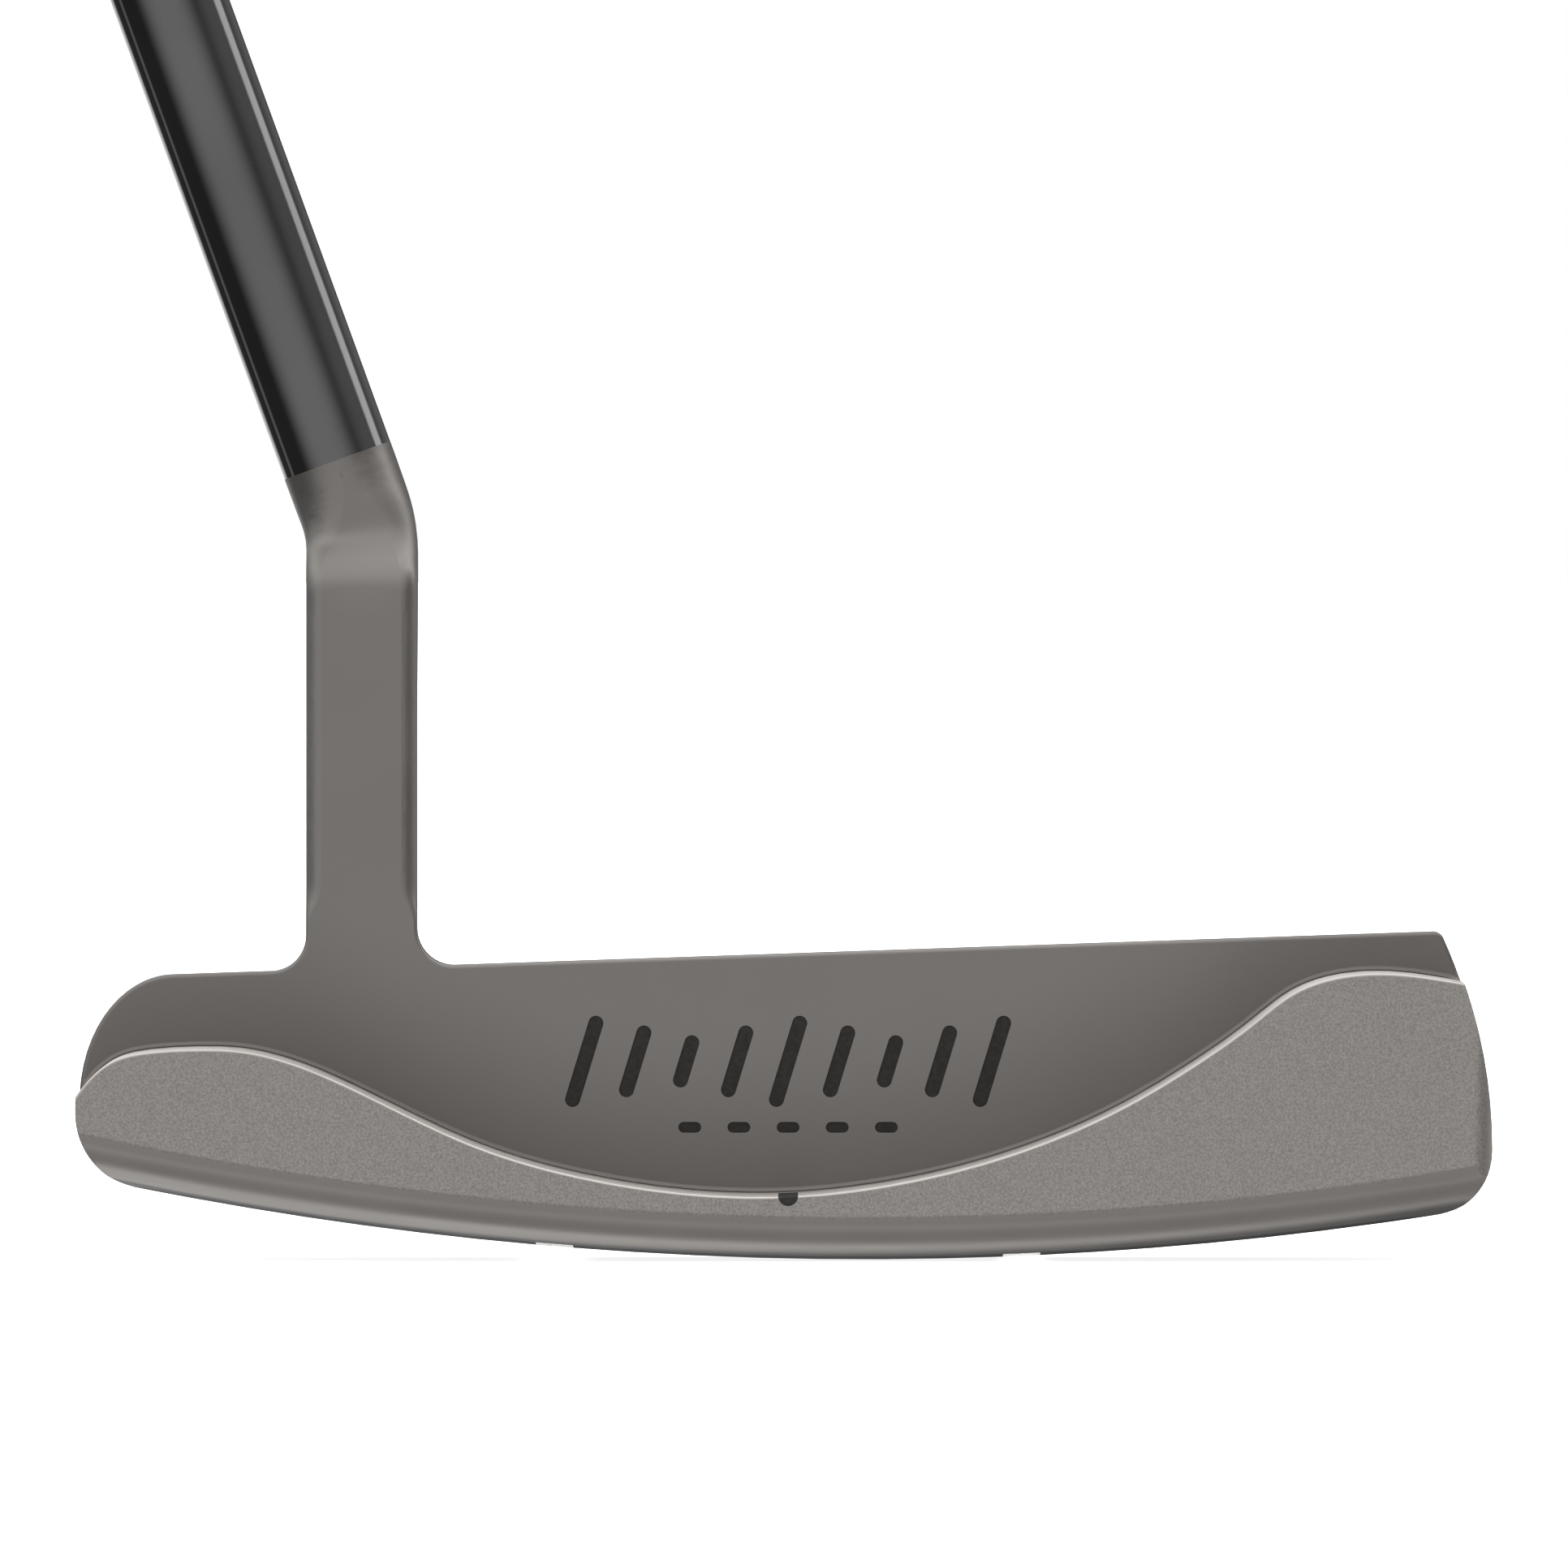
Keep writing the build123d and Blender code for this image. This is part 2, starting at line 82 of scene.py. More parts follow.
# ---------------------------------------------------------------- sizes and colours
class PutterHeadSettings(bpy.types.PropertyGroup):
    """Colours and grain of the head"""
    steel: bpy.props.FloatVectorProperty(
        name="Steel", description="Colour of the satin steel", subtype="COLOR",
        size=3, min=0, max=1, default=(0.30, 0.283, 0.268))
    smooth_tone: bpy.props.FloatProperty(
        name="Smooth tone", description="Brightness of the smooth steel against the blasted steel",
        min=0.2, max=1.5, default=0.67)
    # Painted shade: the smooth steel is painted darker towards the bottom of the cavity, down to this
    # brightness.
    cavity_painted_shade: bpy.props.FloatProperty(
        name="Cavity tone", description="Brightness of the smooth steel at the bottom of the cavity",
        min=0.2, max=1.5, default=0.49)
    roughness: bpy.props.FloatProperty(
        name="Roughness", description="Roughness of the satin steel", min=0, max=1, default=0.46)
    grain_size: bpy.props.FloatProperty(
        name="Blast grain", description="Width of one blasted dimple", unit="LENGTH",
        min=0.00005, max=0.002, default=0.00018)
    grain_depth: bpy.props.FloatProperty(
        name="Blast depth", description="Depth of the blasted dimples", unit="LENGTH",
        min=0, max=0.0002, default=0.00001)
    milling_pitch: bpy.props.FloatProperty(
        name="Milling pitch", description="Spacing of the cutter marks on the strike face",
        unit="LENGTH", min=0.0002, max=0.005, default=0.0009)
    paint: bpy.props.FloatVectorProperty(
        name="Paint", description="Colour of the dark paint fill", subtype="COLOR",
        size=3, min=0, max=1, default=(0.017, 0.016, 0.015))
    plate: bpy.props.FloatVectorProperty(
        name="Sole plate", description="Colour of the anodised sole plate", subtype="COLOR",
        size=3, min=0, max=1, default=(0.006, 0.006, 0.0065))


class PutterShaftSettings(bpy.types.PropertyGroup):
    """Finish of the shaft and its band"""
    black: bpy.props.FloatVectorProperty(
        name="Shaft black", description="Colour of the shaft's gloss finish", subtype="COLOR",
        size=3, min=0, max=1, default=(0.122, 0.122, 0.122))
    roughness: bpy.props.FloatProperty(
        name="Roughness", description="Roughness of the gloss finish", min=0, max=1, default=0.09)
    band: bpy.props.FloatVectorProperty(
        name="Band", description="Colour of the band below the grip", subtype="COLOR",
        size=3, min=0, max=1, default=(0.42, 0.42, 0.43))


class PutterGripSettings(bpy.types.PropertyGroup):
    """Colours and ribs of the grip"""
    rubber: bpy.props.FloatVectorProperty(
        name="Grip black", description="Colour of the grip's skin", subtype="COLOR",
        size=3, min=0, max=1, default=(0.018, 0.018, 0.019))
    accent: bpy.props.FloatVectorProperty(
        name="Grip grey", description="Colour of the pressed lines on the grip's front",
        subtype="COLOR", size=3, min=0, max=1, default=(0.28, 0.28, 0.28))
    rib_pitch: bpy.props.FloatProperty(
        name="Rib pitch", description="Spacing of the pressed ribs along the grip",
        unit="LENGTH", min=0.001, max=0.01, default=0.0032)
    rib_depth: bpy.props.FloatProperty(
        name="Rib depth", description="Depth of the pressed ribs", unit="LENGTH",
        min=0, max=0.001, default=0.00035)


class PutterStageSettings(bpy.types.PropertyGroup):
    """Camera, floor and light"""
    view_width: bpy.props.FloatProperty(
        name="View width", description="Width that the camera sees at the object", unit="LENGTH",
        min=0.05, max=2, default=0.13054)
    view_centre: bpy.props.FloatVectorProperty(
        name="View centre", description="Point that the camera looks at", subtype="TRANSLATION",
        size=3, default=(-0.00034, 0, 0.03956))
    camera_distance: bpy.props.FloatProperty(
        name="Camera distance", description="Camera to the view centre", unit="LENGTH",
        min=0.3, max=20, default=3.0)
    camera_elevation: bpy.props.FloatProperty(
        name="Camera elevation", description="Height angle of the camera", subtype="ANGLE",
        default=math.radians(0.4))
    floor_glow: bpy.props.FloatProperty(
        name="Floor glow", description="Light that the floor gives from below, as a light table does",
        min=0, max=2, default=0.85)
    ambient: bpy.props.FloatProperty(
        name="Ambient", description="Light that comes from every side", min=0, max=2, default=0.1)
    overhead: bpy.props.FloatProperty(
        name="Overhead", description="Light from above", min=0, max=5, default=1.25)
    front: bpy.props.FloatProperty(
        name="Front", description="Soft light from behind the camera", min=0, max=5, default=0.85)


# ---------------------------------------------------------------- node helpers
def add(tree, kind, inputs=None, **props):
    """Shader node with its settings; an input is a value or another node's socket."""
    node = tree.nodes.new("ShaderNode" + kind)
    for name, value in props.items():
        setattr(node, name, value)
    for key, value in (inputs or {}).items():
        socket = node.inputs[key]
        if isinstance(value, bpy.types.NodeSocket):
            tree.links.new(value, socket)
        else:
            socket.default_value = value
    return node


def math_node(tree, operation, first, second=0.0, third=0.0):
    return add(tree, "Math", {0: first, 1: second, 2: third}, operation=operation).outputs[0]


def step(tree, value, low, high, to_low=0.0, to_high=1.0):
    """Soft step of a value from low to high."""
    node = add(tree, "MapRange", {"Value": value, "From Min": low, "From Max": high,
                                  "To Min": to_low, "To Max": to_high},
               interpolation_type="SMOOTHSTEP")
    return node.outputs[0]


def dot(tree, vector, direction):
    node = add(tree, "VectorMath", {0: vector, 1: tuple(direction)}, operation="DOT_PRODUCT")
    return node.outputs["Value"]


def grey(level):
    return (level, level, level, 1.0)


def scaled(colour, factor):
    return tuple(min(channel * factor, 1.0) for channel in colour) + (1.0,)


def mix_colour(tree, share, first, second):
    """First colour where the share is 0, second where it is 1."""
    node = add(tree, "Mix", {0: share, 6: first, 7: second}, data_type="RGBA")
    return node.outputs[2]


def varied(tree, share, colour, darkest, lightest):
    """One colour between two brightnesses of itself."""
    return mix_colour(tree, share, scaled(colour, darkest), scaled(colour, lightest))


def new_material(name):
    material = bpy.data.materials.new(name)
    material.use_nodes = True
    shader = material.node_tree.nodes["Principled BSDF"]
    return material, material.node_tree, shader


def object_point(tree):
    """Place in the club's own frame, in metres."""
    return add(tree, "TexCoord").outputs["Object"]


def noise(tree, point, size, detail=2.0, roughness=0.5):
    node = add(tree, "TexNoise", {"Vector": point, "Scale": 1 / size, "Detail": detail,
                                  "Roughness": roughness})
    return node.outputs["Fac"]


def bump(tree, height, depth, strength=1.0, below=None):
    inputs = {"Height": height, "Distance": depth, "Strength": strength}
    if below is not None:
        inputs["Normal"] = below
    return add(tree, "Bump", inputs).outputs["Normal"]


def finish_node(name, material):
    """Puts a finish on a piece of the CAD frame."""
    for slot in frame["nodes"][name].material_slots:
        slot.material = material


# ---------------------------------------------------------------- finishes
# Height of the cavity's lower edge along the head, heel to toe, in metres.
WAVE_LINE = (
    (-0.058, 0.0151), (-0.056, 0.0167), (-0.053, 0.0175), (-0.049, 0.0177), (-0.042, 0.0168),
    (-0.036, 0.0144), (-0.026, 0.0097), (-0.016, 0.0068), (-0.005, 0.0055), (0.008, 0.0064),
    (0.018, 0.0088), (0.028, 0.0130), (0.034, 0.0166), (0.042, 0.0224), (0.046, 0.0237),
    (0.050, 0.0240), (0.058, 0.0226),
)
WAVE_REACH = 0.06            # half of the length that the curve node spans
WAVE_TOP = 0.03              # height that it spans
ROLL_SHADE = 0.78             # painted shade: brightness of the dark band painted on the roll, against the steel round it
SHELF_HIGHLIGHT = 1.7             # painted highlight: brightness painted on the flange's top, against the plain steel
EDGE_HIGHLIGHT = 1.5              # painted highlight: brightness painted on the edge over the flange's back
RING_PERIOD = 0.314          # spacing of the ring texture at scale 1, in metres
SHELF_END = 3.9 * MM         # where the flange top's painted highlight ends, just short of the round into the wall


def above_wave(tree, place):
    """Height of a point over the wave line."""
    along = math_node(tree, "MULTIPLY_ADD", place.outputs["X"], 0.5 / WAVE_REACH, 0.5)
    curve = add(tree, "FloatCurve", {"Value": along})
    points = curve.mapping.curves[0].points
    spots = [((x / WAVE_REACH + 1) / 2, z / WAVE_TOP) for x, z in WAVE_LINE]
    points[0].location = spots[0]
    points[1].location = spots[-1]
    for spot in spots[1:-1]:
        points.new(*spot)
    curve.mapping.update()
    wave = math_node(tree, "MULTIPLY", curve.outputs[0], WAVE_TOP)
    return math_node(tree, "SUBTRACT", place.outputs["Z"], wave)


def satin_steel(settings):
    """Dark satin steel: blasted behind, smooth in the cavity, cutter marks on the face, smoother worn edges;
    painted shade towards the bottom of the cavity and on the roll, painted highlights on the flange top and
    the edge over the flange's back.
    """
    material, tree, shader = new_material("head_steel")
    point = object_point(tree)
    place = add(tree, "SeparateXYZ", {0: point})
    normal = add(tree, "NewGeometry").outputs["Normal"]
    tilt = add(tree, "SeparateXYZ", {0: normal}).outputs["Z"]
    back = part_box("head")[0].y

    behind = step(tree, place.outputs["Y"], back + 0.6 * MM, back + 0.2 * MM)
    rearward = step(tree, place.outputs["Y"], back + 4.0 * MM, back + 3.0 * MM)
    upright = step(tree, math_node(tree, "ABSOLUTE", tilt), 0.15, 0.05)
    blasted = math_node(tree, "MULTIPLY", behind, upright)
    # Up-facing round over the flange's back: a painted highlight in colour, and real wear that makes it
    # smoother.
    edge_wear_and_highlight = math_node(tree, "MULTIPLY", behind, step(tree, tilt, 0.2, 0.5))
    roll = math_node(tree, "MULTIPLY", rearward, step(tree, tilt, -0.05, -0.2))
    # Painted highlight: up-facing steel towards the back is painted lighter.
    shelf_highlight = math_node(tree, "MULTIPLY", step(tree, tilt, 0.2, 0.7),
                      step(tree, place.outputs["Y"], SHELF_END + 0.3 * MM, SHELF_END))
    strike = step(tree, dot(tree, normal, FACE_OUT), 0.9992, 0.9998)

    grain = noise(tree, point, settings.grain_size, 2.0, 0.7)
    cloud = noise(tree, point, 9 * MM, 3.0)
    speckle = math_node(tree, "MULTIPLY", step(tree, grain, 0.25, 0.75, -0.22, 0.22), blasted)
    tone = math_node(tree, "ADD", step(tree, cloud, 0.3, 0.7, 0.97, 1.03), speckle)
    smooth = math_node(tree, "SUBTRACT", 1.0, rearward)
    # Painted shade: the smooth steel is painted darker towards the wave line at the bottom of the cavity.
    tone_with_painted_shade = step(tree, above_wave(tree, place), -1.0 * MM, 15 * MM,
                      settings.cavity_painted_shade, settings.smooth_tone)
    tone_with_painted_shade = math_node(tree, "MULTIPLY_ADD", math_node(tree, "SUBTRACT", tone_with_painted_shade, 1.0), smooth, 1.0)
    # Painted shade: a dark band is painted where the roll under the back turns downward.
    roll_painted_shade = math_node(tree, "MULTIPLY", step(tree, tilt, -0.02, -0.1), step(tree, tilt, -0.34, -0.14))
    roll_painted_shade = math_node(tree, "MULTIPLY", roll_painted_shade, rearward)
    tone_with_painted_shade = math_node(tree, "MULTIPLY", tone_with_painted_shade, step(tree, roll_painted_shade, 0.0, 1.0, 1.0, ROLL_SHADE))
    tone = math_node(tree, "MULTIPLY", tone, tone_with_painted_shade)
    colour = add(tree, "VectorMath", {0: tuple(settings.steel), "Scale": tone}, operation="SCALE").outputs[0]
    # Painted highlights: lighter colour on the flange top and on the edge over the flange's back.
    colour = mix_colour(tree, shelf_highlight, colour, scaled(settings.steel, SHELF_HIGHLIGHT))
    colour = mix_colour(tree, edge_wear_and_highlight, colour, scaled(settings.steel, EDGE_HIGHLIGHT))
    tree.links.new(colour, shader.inputs["Base Color"])
    shader.inputs["Metallic"].default_value = 1.0

    rough = math_node(tree, "ADD", step(tree, cloud, 0.3, 0.7, -0.03, 0.03), settings.roughness)
    rough = math_node(tree, "ADD", rough, math_node(tree, "MULTIPLY", blasted, 0.06))
    worn = math_node(tree, "MULTIPLY_ADD", edge_wear_and_highlight, 0.16, math_node(tree, "MULTIPLY", roll, 0.08))
    rough = math_node(tree, "MULTIPLY_ADD", shelf_highlight, 0.12, rough)
    tree.links.new(math_node(tree, "SUBTRACT", rough, worn), shader.inputs["Roughness"])

    dimples = bump(tree, grain, settings.grain_depth,
                   strength=math_node(tree, "ADD", math_node(tree, "MULTIPLY", blasted, 0.8), 0.12))
    sweep = add(tree, "TexWave", {"Vector": point, "Scale": RING_PERIOD / settings.milling_pitch,
                                  "Distortion": 0.4, "Detail": 1.0, "Detail Scale": 40.0},
                wave_type="RINGS", rings_direction="Y")
    milled = bump(tree, sweep.outputs["Fac"], 25e-6, strength=strike, below=dimples)
    tree.links.new(milled, shader.inputs["Normal"])
    return material


def paint(name, colour, size, roughness=0.35, gloss=0.5):
    """Enamel with a faint orange peel."""
    material, tree, shader = new_material(name)
    point = object_point(tree)
    speck = noise(tree, point, size, 2.0)
    tone = varied(tree, step(tree, speck, 0.35, 0.65), colour, 0.82, 1.2)
    tree.links.new(tone, shader.inputs["Base Color"])
    rough = step(tree, speck, 0.3, 0.7, roughness - 0.06, roughness + 0.08)
    tree.links.new(rough, shader.inputs["Roughness"])
    tree.links.new(bump(tree, speck, 8e-6), shader.inputs["Normal"])
    shader.inputs["Specular IOR Level"].default_value = gloss
    return material


def anodised(settings):
    """Black anodised aluminium with a fine lengthwise grain and worn highlights."""
    material, tree, shader = new_material("sole_plate_black")
    point = object_point(tree)
    streaks = add(tree, "Mapping", {"Vector": point, "Scale": (60, 2500, 60)})
    lines = add(tree, "TexNoise", {"Vector": streaks.outputs[0], "Scale": 1.0, "Detail": 3.0}).outputs["Fac"]
    scuff = step(tree, noise(tree, point, 6 * MM, 4.0), 0.6, 0.75)
    colour = varied(tree, step(tree, lines, 0.3, 0.7), settings.plate, 0.7, 1.5)
    tree.links.new(colour, shader.inputs["Base Color"])
    shader.inputs["Specular IOR Level"].default_value = 0.2
    rough = step(tree, lines, 0.3, 0.7, 0.36, 0.48)
    rough = math_node(tree, "ADD", rough, math_node(tree, "MULTIPLY", scuff, 0.12))
    tree.links.new(rough, shader.inputs["Roughness"])
    tree.links.new(bump(tree, lines, 6e-6), shader.inputs["Normal"])
    return material


def gloss_shaft(settings):
    """Black plated tube: deep gloss with a faint polish grain along its length."""
    material, tree, shader = new_material("shaft_gloss_black")
    point = object_point(tree)
    cloud = noise(tree, point, 14 * MM, 3.0)
    fine = noise(tree, point, 0.4 * MM, 2.0)
    colour = varied(tree, step(tree, cloud, 0.3, 0.7), settings.black, 0.95, 1.05)
    tree.links.new(colour, shader.inputs["Base Color"])
    shader.inputs["Metallic"].default_value = 1.0
    rough = step(tree, fine, 0.3, 0.7, settings.roughness - 0.02, settings.roughness + 0.01)
    tree.links.new(rough, shader.inputs["Roughness"])
    tree.links.new(bump(tree, fine, 1e-6), shader.inputs["Normal"])
    return material


def film_band(settings):
    """Brushed film wrapped round the shaft, with two plain dark rings."""
    material, tree, shader = new_material("shaft_band_film")
    point = object_point(tree)
    low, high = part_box("shaft_band")
    along = dot(tree, point, SHAFT_UP)
    middle = ((low + high) / 2).dot(SHAFT_UP)
    away = math_node(tree, "ABSOLUTE", math_node(tree, "SUBTRACT", along, middle))
    ring = math_node(tree, "MULTIPLY", step(tree, away, 11.8 * MM, 12.0 * MM),
                     step(tree, away, 14.2 * MM, 14.0 * MM))
    grain = noise(tree, point, 0.5 * MM, 3.0)
    film = varied(tree, step(tree, grain, 0.3, 0.7), settings.band, 0.9, 1.1)
    tree.links.new(mix_colour(tree, ring, film, (0.02, 0.02, 0.022, 1)), shader.inputs["Base Color"])
    shader.inputs["Metallic"].default_value = 0.7
    tree.links.new(step(tree, grain, 0.3, 0.7, 0.25, 0.35), shader.inputs["Roughness"])
    tree.links.new(bump(tree, grain, 3e-6), shader.inputs["Normal"])
    return material


def dull(name, colour, size, depth, roughness=0.7, sheen=0.0):
    """Soft or moulded matt finish with grain at one size."""
    material, tree, shader = new_material(name)
    point = object_point(tree)
    grain = noise(tree, point, size, 4.0, 0.6)
    tone = varied(tree, step(tree, grain, 0.3, 0.7), colour, 0.75, 1.25)
    tree.links.new(tone, shader.inputs["Base Color"])
    rough = step(tree, grain, 0.3, 0.7, roughness - 0.08, roughness + 0.08)
    tree.links.new(rough, shader.inputs["Roughness"])
    tree.links.new(bump(tree, grain, depth), shader.inputs["Normal"])
    shader.inputs["Sheen Weight"].default_value = sheen
    return material


# ---------------------------------------------------------------- head
class PUTTER_OT_head(bpy.types.Operator):
    """Satin steel on the blade, flange, bumpers and neck"""
    bl_idname = "putter.head"
    bl_label = "Head"

    def execute(self, context):
        finish_node("head", satin_steel(context.scene.putter_head))
        return {"FINISHED"}


class PUTTER_OT_head_details(bpy.types.Operator):
    """Paint fills, sole plate with its bars, and the hidden adhesives"""
    bl_idname = "putter.head_details"
    bl_label = "Head details"

    def execute(self, context):
        settings = context.scene.putter_head
        dark = paint("dark_fill", settings.paint, 0.35 * MM, 0.5, 0.15)
        finish_node("emblem_fill", dark)
        finish_node("sight_line_fill", dark)
        finish_node("sole_plate", anodised(settings))
        finish_node("sole_bars", paint("white_fill", (0.8, 0.8, 0.79), 0.4 * MM, 0.3))
        glue = dull("cured_adhesive", (0.5, 0.46, 0.36), 1.2 * MM, 1e-5, 0.4)
        finish_node("sole_plate_adhesive", glue)
        finish_node("hosel_epoxy", glue)
        return {"FINISHED"}


class PUTTER_OT_shaft(bpy.types.Operator):
    """Gloss black on the stepped shaft, film on its band"""
    bl_idname = "putter.shaft"
    bl_label = "Shaft"

    def execute(self, context):
        settings = context.scene.putter_shaft
        finish_node("shaft", gloss_shaft(settings))
        finish_node("shaft_band", film_band(settings))
        return {"FINISHED"}


# ---------------------------------------------------------------- grip
# Grip sections from mouth to butt: distance up the shaft axis, width, depth, axis to flat front, in mm.
GRIP_STATIONS = ((627.0, 20.5, 20.5, 10.25), (720.0, 24.0, 23.0, 10.5), (885.0, 27.0, 30.0, 10.5))
BUTT_DISTANCE = 887.0        # the vent mount's distance up the shaft axis
GRIP_CORNER_SHARE = 0.2      # corner radius of the flat front, as a share of the width
SKIN_THICKNESS = 1.2
SKIN_START = GRIP_STATIONS[0][0]
SKIN_END = GRIP_STATIONS[-1][0]
FLAT_STEPS = 22              # points round each stretch of the section
CORNER_STEPS = 6
SIDE_STEPS = 7
BACK_STEPS = 26
RELIEF_FADE = 9.0            # length over which the ribs die out, after a plain stretch half as long
ACCENT_COLUMNS = (2, 3, FLAT_STEPS - 3, FLAT_STEPS - 2)
ACCENT_DEPTH = 1.3           # depth of the accent lines, over the ribs' depth
ARROW_REACH = 0.72           # share of the front's half width that carries arrow ribs
ARROW_SLANT = 1.4            # ribs that an arrow drops from its middle to the flat's edge
ROWS_PER_RIB = 6
INNER_ROWS = 24


def grip_size(distance):
    """Width, depth and flat of the grip, from a parabola through its three stations."""
    sizes = [0.0, 0.0, 0.0]
    for i, station in enumerate(GRIP_STATIONS):
        weight = 1.0
        for j, other in enumerate(GRIP_STATIONS):
            if i != j:
                weight *= (distance - other[0]) / (station[0] - other[0])
        sizes = [total + weight * value for total, value in zip(sizes, station[1:])]
    return sizes


def arc(centre, radius, start, end, count):
    """Points of an arc between two angles in degrees, without its last one."""
    for i in range(count):
        angle = math.radians(start + (end - start) * i / count)
        yield centre[0] + radius * math.cos(angle), centre[1] + radius * math.sin(angle)


def grip_ring(distance, inset):
    """Section points round the grip with their outward directions, the flat front first."""
    width, depth, flat = grip_size(distance)
    half = width / 2 - inset
    front = inset - flat
    middle = depth - flat - inset - half
    corner = GRIP_CORNER_SHARE * width - inset
    run = half - corner
    points = [(-run + 2 * run * i / FLAT_STEPS, front) for i in range(FLAT_STEPS)]
    points += arc((run, front + corner), corner, -90, 0, CORNER_STEPS)
    wall = middle - front - corner
    points += [(half, front + corner + wall * i / SIDE_STEPS) for i in range(SIDE_STEPS)]
    points += arc((0, middle), half, 0, 180, BACK_STEPS)
    points += [(-half, middle - wall * i / SIDE_STEPS) for i in range(SIDE_STEPS)]
    points += arc((-run, front + corner), corner, 180, 270, CORNER_STEPS)
    count = len(points)
    ring = []
    for i, (x, y) in enumerate(points):
        before = points[i - 1]
        after = points[(i + 1) % count]
        out = Vector((after[1] - before[1], before[0] - after[0])).normalized()
        ring.append((x, y, out))
    return ring


def rib_relief(distance, index, settings):
    """Depth pressed into the skin at one point: arrow ribs in front, straight ribs behind."""
    fade = min(distance - SKIN_START, SKIN_END - distance) / RELIEF_FADE
    fade = min(max(fade - 0.5, 0.0), 1.0)
    pitch = settings.rib_pitch / MM
    depth = settings.rib_depth / MM
    behind_first = FLAT_STEPS + CORNER_STEPS
    behind_last = behind_first + 2 * SIDE_STEPS + BACK_STEPS
    if index in ACCENT_COLUMNS:
        return ACCENT_DEPTH * depth * fade
    if index <= FLAT_STEPS:
        across = abs(index / FLAT_STEPS - 0.5) * 2
        if across > ARROW_REACH:
            return 0.0
        phase = distance / pitch + across * ARROW_SLANT
    elif behind_first <= index <= behind_last:
        phase = distance / pitch
    else:
        return 0.0
    return depth * fade * (0.5 - 0.5 * math.cos(2 * math.pi * phase)) ** 2


def ribbed_skin(settings):
    """Closed tube: ribbed outside, plain inside, level ends."""
    shell = bmesh.new()
    side = Vector((0, 1, 0))
    rear = SHAFT_UP.cross(side)
    length = SKIN_END - SKIN_START

    def ring_vertices(distance, inset, relief):
        centre = BUTT + SHAFT_UP * (distance - BUTT_DISTANCE) * MM
        vertices = []
        for index, (x, y, out) in enumerate(grip_ring(distance, inset)):
            sunk = rib_relief(distance, index, settings) if relief else 0.0
            spot = side * (x - out.x * sunk) + rear * (y - out.y * sunk)
            vertices.append(shell.verts.new(centre + spot * MM))
        return vertices

    rows = round(length * MM / settings.rib_pitch * ROWS_PER_RIB)
    outer = [ring_vertices(SKIN_START + length * i / rows, 0, True) for i in range(rows + 1)]
    inner = [ring_vertices(SKIN_END - length * i / INNER_ROWS, SKIN_THICKNESS, False)
             for i in range(INNER_ROWS + 1)]
    rings = outer + inner
    for k, ring in enumerate(rings):
        following = rings[(k + 1) % len(rings)]
        for i in range(len(ring)):
            j = (i + 1) % len(ring)
            face = shell.faces.new((ring[i], ring[j], following[j], following[i]))
            face.smooth = k < rows or k > rows
            if k < rows and i in ACCENT_COLUMNS[::2]:
                face.material_index = 1
    bmesh.ops.recalc_face_normals(shell, faces=shell.faces)
    mesh = bpy.data.meshes.new("grip_skin_ribbed")
    shell.to_mesh(mesh)
    shell.free()
    return bpy.data.objects.new("grip_skin_ribbed", mesh)


class PUTTER_OT_grip(bpy.types.Operator):
    """Ribbed skin, core, tape, mouth ring and butt cap of the grip"""
    bl_idname = "putter.grip"
    bl_label = "Grip"

    def execute(self, context):
        settings = context.scene.putter_grip
        rubber = dull("grip_rubber", settings.rubber, 0.8 * MM, 4e-5, 0.62, 0.15)
        finish_node("grip_skin", rubber)
        skin = ribbed_skin(settings)
        skin.data.materials.append(rubber)
        skin.data.materials.append(paint("grip_lines", settings.accent, 0.5 * MM, 0.5))
        context.scene.collection.objects.link(skin)
        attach(skin, BODY)
        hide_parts("grip_skin")
        finish_node("grip_core", dull("grip_foam", (0.05, 0.05, 0.05), 0.9 * MM, 8e-5, 0.85))
        finish_node("grip_tape", dull("tape_paper", (0.6, 0.56, 0.46), 0.6 * MM, 1e-5, 0.8))
        moulded = dull("moulded_black", (0.02, 0.02, 0.02), 0.5 * MM, 1e-5, 0.45)
        finish_node("grip_mouth_ring", moulded)
        finish_node("grip_cap", moulded)
        return {"FINISHED"}


# ---------------------------------------------------------------- stage
FLOOR_HALF = 40.0            # half the side of the square floor, in metres


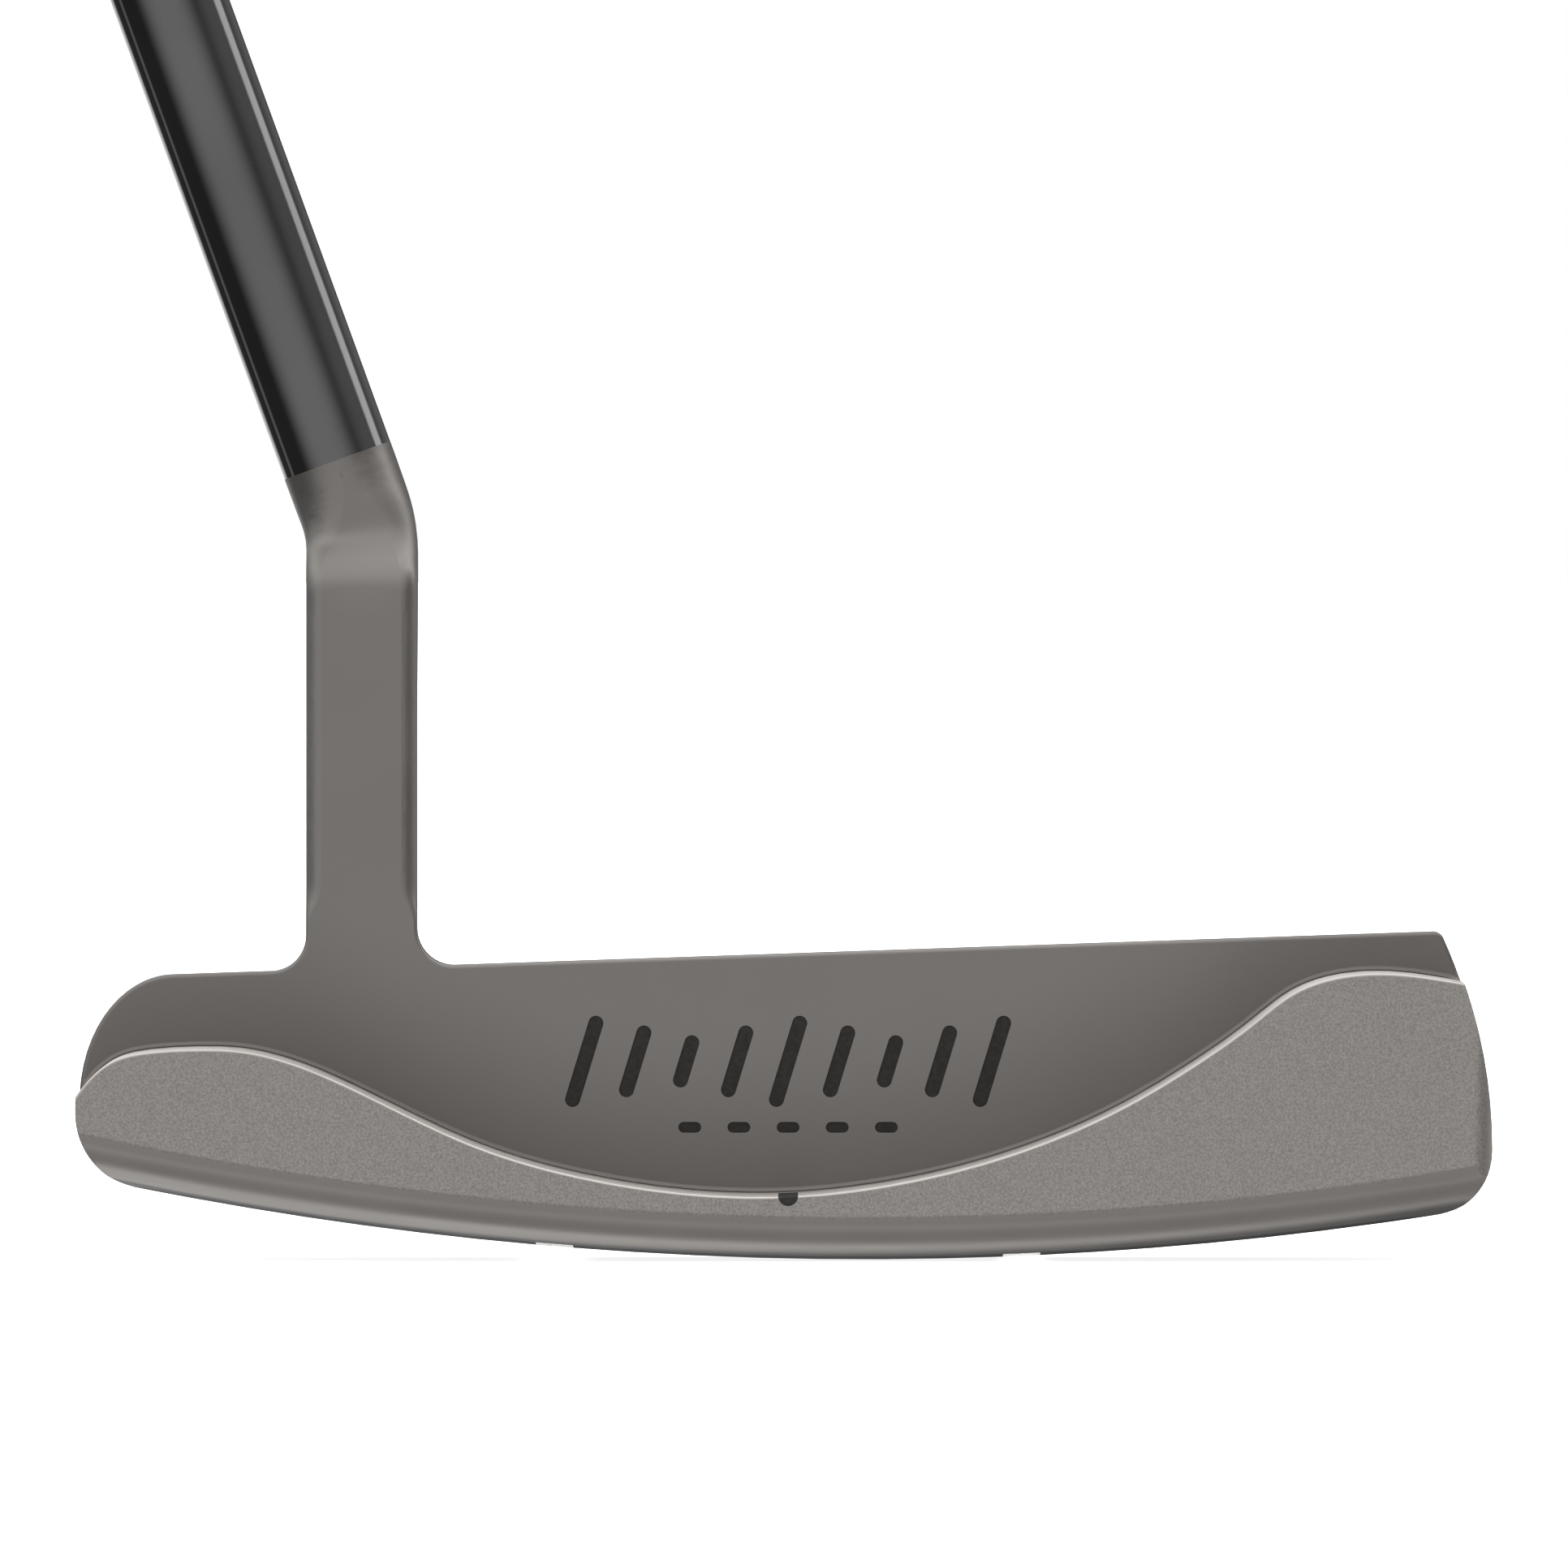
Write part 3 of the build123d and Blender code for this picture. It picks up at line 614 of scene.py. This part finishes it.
def studio_world(settings):
    """White backdrop for the eye; soft overhead light, front glow and side strips for the gloss."""
    world = bpy.data.worlds.new("studio")
    world.use_nodes = True
    tree = world.node_tree
    background = tree.nodes["Background"]
    way = add(tree, "TexCoord").outputs["Generated"]
    way = add(tree, "VectorMath", {0: way}, operation="NORMALIZE").outputs[0]

    def lobe(direction, outer, inner, strength):
        """Round soft light, full inside the inner angle and gone outside the outer one, in degrees."""
        direction = Vector(direction).normalized()
        inside = step(tree, dot(tree, way, direction), math.cos(math.radians(outer)),
                      math.cos(math.radians(inner)))
        return math_node(tree, "MULTIPLY", inside, strength)

    def strip(azimuth, width, strength):
        """Upright strip of light; azimuth 0 is towards the camera, 90 to the right in its view."""
        angle = math.radians(azimuth)
        toward = Vector((math.sin(angle), -math.cos(angle), 0))
        side = math_node(tree, "ABSOLUTE", dot(tree, way, (toward.y, -toward.x, 0)))
        narrow = step(tree, side, math.sin(math.radians(width)), math.sin(math.radians(width / 2)))
        ahead = step(tree, dot(tree, way, toward), 0.0, 0.2)
        return math_node(tree, "MULTIPLY", math_node(tree, "MULTIPLY", narrow, ahead), strength)

    height = add(tree, "SeparateXYZ", {0: way}).outputs["Z"]
    above = step(tree, height, -0.12, 0.06)
    high_side = step(tree, height, 0.12, 0.24)
    light = settings.ambient
    overhead = lobe((0, -0.1, 1), 78, 20, settings.overhead)
    front = lobe((-0.2, -1, 0.02), 64, 0, settings.front)
    heel_fill = math_node(tree, "MULTIPLY", lobe((-1, -0.1, 0.3), 62, 15, 0.75), above)
    bounce = lobe((0, -0.2, -1), 50, 8, 0.42)
    toe_fill = lobe((1, -0.1, -0.15), 50, 10, 0.3)
    face_fill = lobe((0.75, 0.62, -0.25), 42, 15, 0.5)
    right_strip = math_node(tree, "MULTIPLY", strip(106, 13, 2.2), high_side)
    left_strip = strip(-114, 5, 0.45)
    rim_strip = strip(-160, 20, 1.0)
    for part in (overhead, front, heel_fill, bounce, toe_fill, face_fill,
                 right_strip, left_strip, rim_strip):
        light = math_node(tree, "ADD", part, light)
    seen = add(tree, "LightPath").outputs["Is Camera Ray"]
    strength = add(tree, "Mix", {0: seen, 2: light, 3: 1.0}, data_type="FLOAT").outputs[0]
    tree.links.new(strength, background.inputs["Strength"])
    background.inputs["Color"].default_value = (1, 1, 1, 1)
    return world


def floor_piece(settings):
    """Wide pale floor that glows softly and isn't seen in the gloss."""
    mesh = bpy.data.meshes.new("floor")
    half = FLOOR_HALF
    corners = [(-half, -half, 0), (half, -half, 0), (half, half, 0), (-half, half, 0)]
    mesh.from_pydata(corners, [], [(0, 1, 2, 3)])
    floor = bpy.data.objects.new("floor", mesh)
    material, tree, shader = new_material("pale_floor")
    cloud = noise(tree, object_point(tree), 0.4, 2.0)
    tree.links.new(mix_colour(tree, cloud, grey(0.9), grey(0.93)), shader.inputs["Base Color"])
    shader.inputs["Roughness"].default_value = 0.9
    shader.inputs["Specular IOR Level"].default_value = 0.1
    shader.inputs["Emission Color"].default_value = grey(1.0)
    shader.inputs["Emission Strength"].default_value = settings.floor_glow
    mesh.materials.append(material)
    floor.visible_glossy = False
    return floor


class PUTTER_OT_stage(bpy.types.Operator):
    """Camera, floor and soft studio light"""
    bl_idname = "putter.stage"
    bl_label = "Stage"

    def execute(self, context):
        settings = context.scene.putter_stage
        scene = context.scene
        scene.view_settings.view_transform = "Standard"
        scene.world = studio_world(settings)
        floor = floor_piece(settings)
        scene.collection.objects.link(floor)

        data = bpy.data.cameras.new("camera")
        camera = bpy.data.objects.new("camera", data)
        scene.collection.objects.link(camera)
        scene.camera = camera
        elevation = settings.camera_elevation
        back = Vector((0, -math.cos(elevation), math.sin(elevation)))
        camera.location = Vector(settings.view_centre) + back * settings.camera_distance
        camera.rotation_euler = (-back).to_track_quat("-Z", "Y").to_euler()
        data.lens = data.sensor_width * settings.camera_distance / settings.view_width
        data.clip_start = 0.1
        data.clip_end = 200
        return {"FINISHED"}


# ---------------------------------------------------------------- add-on
STEPS = (PUTTER_OT_head, PUTTER_OT_head_details, PUTTER_OT_shaft, PUTTER_OT_grip, PUTTER_OT_stage)
SETTINGS = {
    "putter_head": PutterHeadSettings,
    "putter_shaft": PutterShaftSettings,
    "putter_grip": PutterGripSettings,
    "putter_stage": PutterStageSettings,
}


class PUTTER_PT_panel(bpy.types.Panel):
    """Lists the putter's sizes, colours and building steps"""
    bl_label = "Blade putter"
    bl_idname = "PUTTER_PT_panel"
    bl_space_type = "VIEW_3D"
    bl_region_type = "UI"
    bl_category = "Putter"

    def draw(self, context):
        for name, group in SETTINGS.items():
            box = self.layout.box()
            values = getattr(context.scene, name)
            for field in group.__annotations__:
                box.prop(values, field)
        for operator in STEPS:
            self.layout.operator(operator.bl_idname)


CLASSES = (*SETTINGS.values(), *STEPS, PUTTER_PT_panel)


def register():
    for cls in CLASSES:
        bpy.utils.register_class(cls)
    for name, group in SETTINGS.items():
        setattr(bpy.types.Scene, name, bpy.props.PointerProperty(type=group))


def unregister():
    for name in SETTINGS:
        delattr(bpy.types.Scene, name)
    for cls in reversed(CLASSES):
        bpy.utils.unregister_class(cls)


def main():
    register()
    bpy.ops.putter.head()
    bpy.ops.putter.head_details()
    bpy.ops.putter.shaft()
    bpy.ops.putter.grip()
    bpy.ops.putter.stage()


if __name__ == "__main__":
    main()
